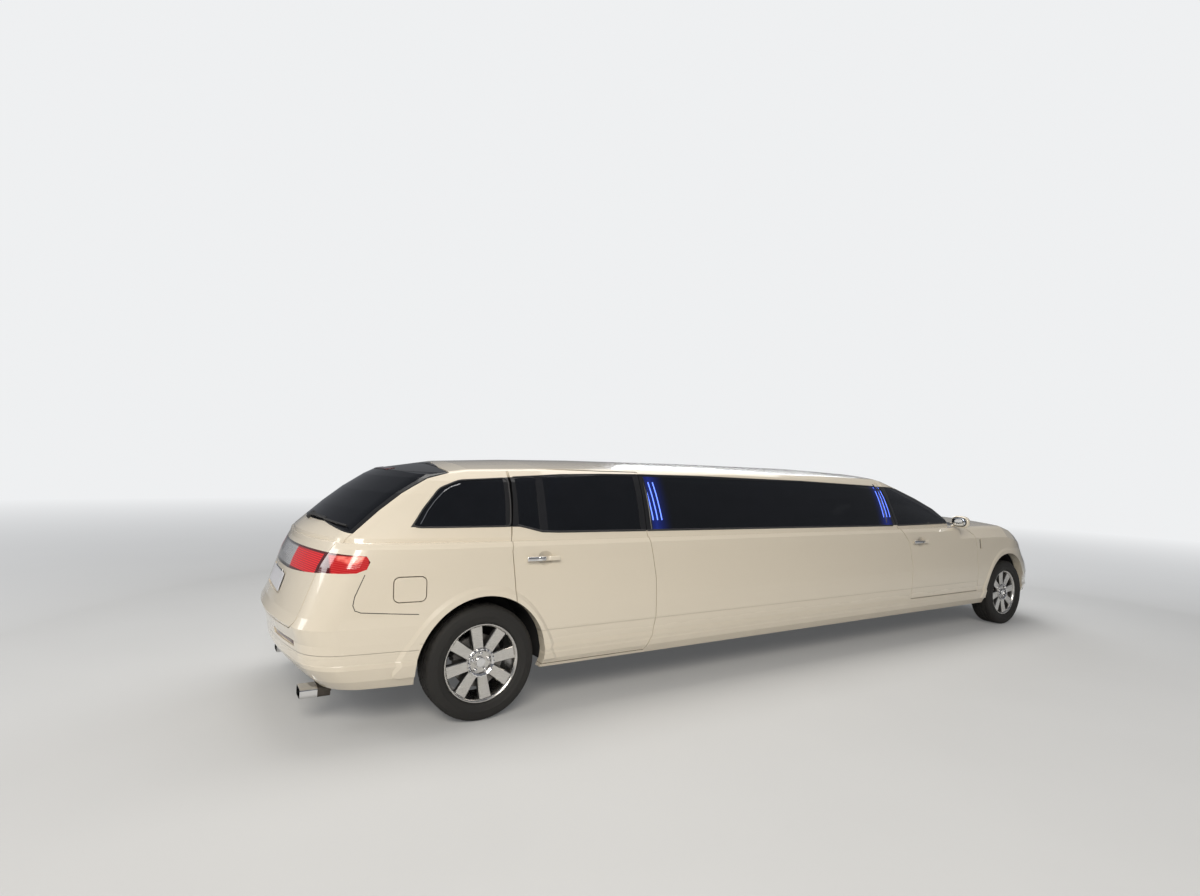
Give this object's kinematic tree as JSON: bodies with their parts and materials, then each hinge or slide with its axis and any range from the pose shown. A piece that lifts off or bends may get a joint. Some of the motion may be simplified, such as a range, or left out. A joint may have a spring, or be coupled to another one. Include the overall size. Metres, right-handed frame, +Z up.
{
  "type": "stretch limousine",
  "caption": "Long crossover-bodied stretch limousine with hinged doors, hood, liftgate and fuel door, steering and rolling wheels.",
  "frame": {"origin": "on the ground under the middle of the bounding box", "axes": "+X forward, +Y to the left side of the car, +Z up"},
  "size_m": [8.7786, 2.195, 1.7178],
  "materials": {
    "tyre": "matt",
    "alloy": "satin",
    "tinted_glass": "gloss",
    "red_lamp": "gloss",
    "clear_lamp": "gloss",
    "black_plastic": "matt",
    "leather": "satin",
    "wood_trim": "gloss",
    "chassis_metal": "matt",
    "chrome": "mirror",
    "body_paint": "gloss"
  },
  "bodies": {
    "body": {"bar_console": "wood_trim", "centre_panels": "body_paint", "cowl": "black_plastic", "dashboard": "black_plastic", "door_hinges": "chassis_metal", "engine_block": "chassis_metal", "exhaust": "chrome", "fenders": "body_paint", "firewall": "black_plastic", "floor_pan": "chassis_metal", "frame_rails": "chassis_metal", "front_bumper": "body_paint", "front_seats": "leather", "front_subframe": "chassis_metal", "grille": "black_plastic", "headlamps": "clear_lamp", "partition": "wood_trim", "quarter_panels": "body_paint", "rear_axle": "chassis_metal", "rear_bumper": "body_paint", "rear_seat": "leather", "roof": "body_paint", "side_glass": "tinted_glass", "side_seat": "leather", "tail_lamps": "red_lamp", "wheel_liners": "black_plastic", "windshield": "tinted_glass"},
    "hood": {"hood": "body_paint"},
    "liftgate": {"liftgate": "body_paint", "liftgate_glass": "tinted_glass", "liftgate_lamp": "red_lamp"},
    "fuel_door": {"fuel_door": "body_paint"},
    "steering_wheel": {"steering_wheel": "black_plastic"},
    "door_front_left": {"door_front_left": "body_paint", "door_glass_front_left": "tinted_glass", "mirror_left": "body_paint"},
    "door_rear_left": {"door_rear_left": "body_paint", "door_glass_rear_left": "tinted_glass"},
    "knuckle_left": {"knuckle_left": "chassis_metal"},
    "wheel_front_left": {"rim_front_left": "alloy", "tyre_front_left": "tyre"},
    "wheel_rear_left": {"rim_rear_left": "alloy", "tyre_rear_left": "tyre"},
    "door_front_right": {"door_front_right": "body_paint", "door_glass_front_right": "tinted_glass", "mirror_right": "body_paint"},
    "door_rear_right": {"door_rear_right": "body_paint", "door_glass_rear_right": "tinted_glass"},
    "knuckle_right": {"knuckle_right": "chassis_metal"},
    "wheel_front_right": {"rim_front_right": "alloy", "tyre_front_right": "tyre"},
    "wheel_rear_right": {"rim_rear_right": "alloy", "tyre_rear_right": "tyre"}
  },
  "joints": [
    {"name": "hood_hinge", "type": "hinge", "parent": "body", "child": "hood", "pos_m": [2.7465, 0, 1.152], "axis": [0, -1, 0], "range_deg": [0, 55]},
    {"name": "liftgate_hinge", "type": "hinge", "parent": "body", "child": "liftgate", "pos_m": [-3.3445, 0, 1.626], "axis": [0, 1, 0], "range_deg": [0, 75]},
    {"name": "fuel_door_hinge", "type": "hinge", "parent": "body", "child": "fuel_door", "pos_m": [-3.6305, -0.93, 0.88], "axis": [0, 0, 1], "range_deg": [0, 90]},
    {"name": "door_front_left_hinge", "type": "hinge", "parent": "body", "child": "door_front_left", "pos_m": [2.6435, 0.944, 0.8], "axis": [0, 0, -1], "range_deg": [0, 65]},
    {"name": "door_rear_left_hinge", "type": "hinge", "parent": "body", "child": "door_rear_left", "pos_m": [-1.8845, 0.944, 0.8], "axis": [0, 0, -1], "range_deg": [0, 65]},
    {"name": "door_front_right_hinge", "type": "hinge", "parent": "body", "child": "door_front_right", "pos_m": [2.6435, -0.944, 0.8], "axis": [0, 0, 1], "range_deg": [0, 65]},
    {"name": "door_rear_right_hinge", "type": "hinge", "parent": "body", "child": "door_rear_right", "pos_m": [-1.8845, -0.944, 0.8], "axis": [0, 0, 1], "range_deg": [0, 65]},
    {"name": "steer_left", "type": "hinge", "parent": "body", "child": "knuckle_left", "pos_m": [3.3565, 0.7, 0.3705], "axis": [0, 0, 1], "range_deg": [-35, 35]},
    {"name": "steer_right", "type": "hinge", "parent": "body", "child": "knuckle_right", "pos_m": [3.3565, -0.7, 0.3705], "axis": [0, 0, 1], "range_deg": [-35, 35]},
    {"name": "steering_wheel_turn", "type": "hinge", "parent": "body", "child": "steering_wheel", "pos_m": [2.0365, 0.38, 0.96], "axis": [-0.9063, 0, 0.4226], "range_deg": [-525, 525]},
    {"name": "wheel_front_left_spin", "type": "hinge", "parent": "knuckle_left", "child": "wheel_front_left", "pos_m": [3.3565, 0.8305, 0.3705], "axis": [0, 1, 0], "continuous": true},
    {"name": "wheel_rear_left_spin", "type": "hinge", "parent": "body", "child": "wheel_rear_left", "pos_m": [-3.1945, 0.8305, 0.3705], "axis": [0, 1, 0], "continuous": true},
    {"name": "wheel_front_right_spin", "type": "hinge", "parent": "knuckle_right", "child": "wheel_front_right", "pos_m": [3.3565, -0.8305, 0.3705], "axis": [0, 1, 0], "continuous": true},
    {"name": "wheel_rear_right_spin", "type": "hinge", "parent": "body", "child": "wheel_rear_right", "pos_m": [-3.1945, -0.8305, 0.3705], "axis": [0, 1, 0], "continuous": true}
  ],
  "couplings": [
    {"joint": "steer_right", "follows": "steer_left", "ratio": 1},
    {"joint": "steering_wheel_turn", "follows": "steer_left", "ratio": 15}
  ]
}
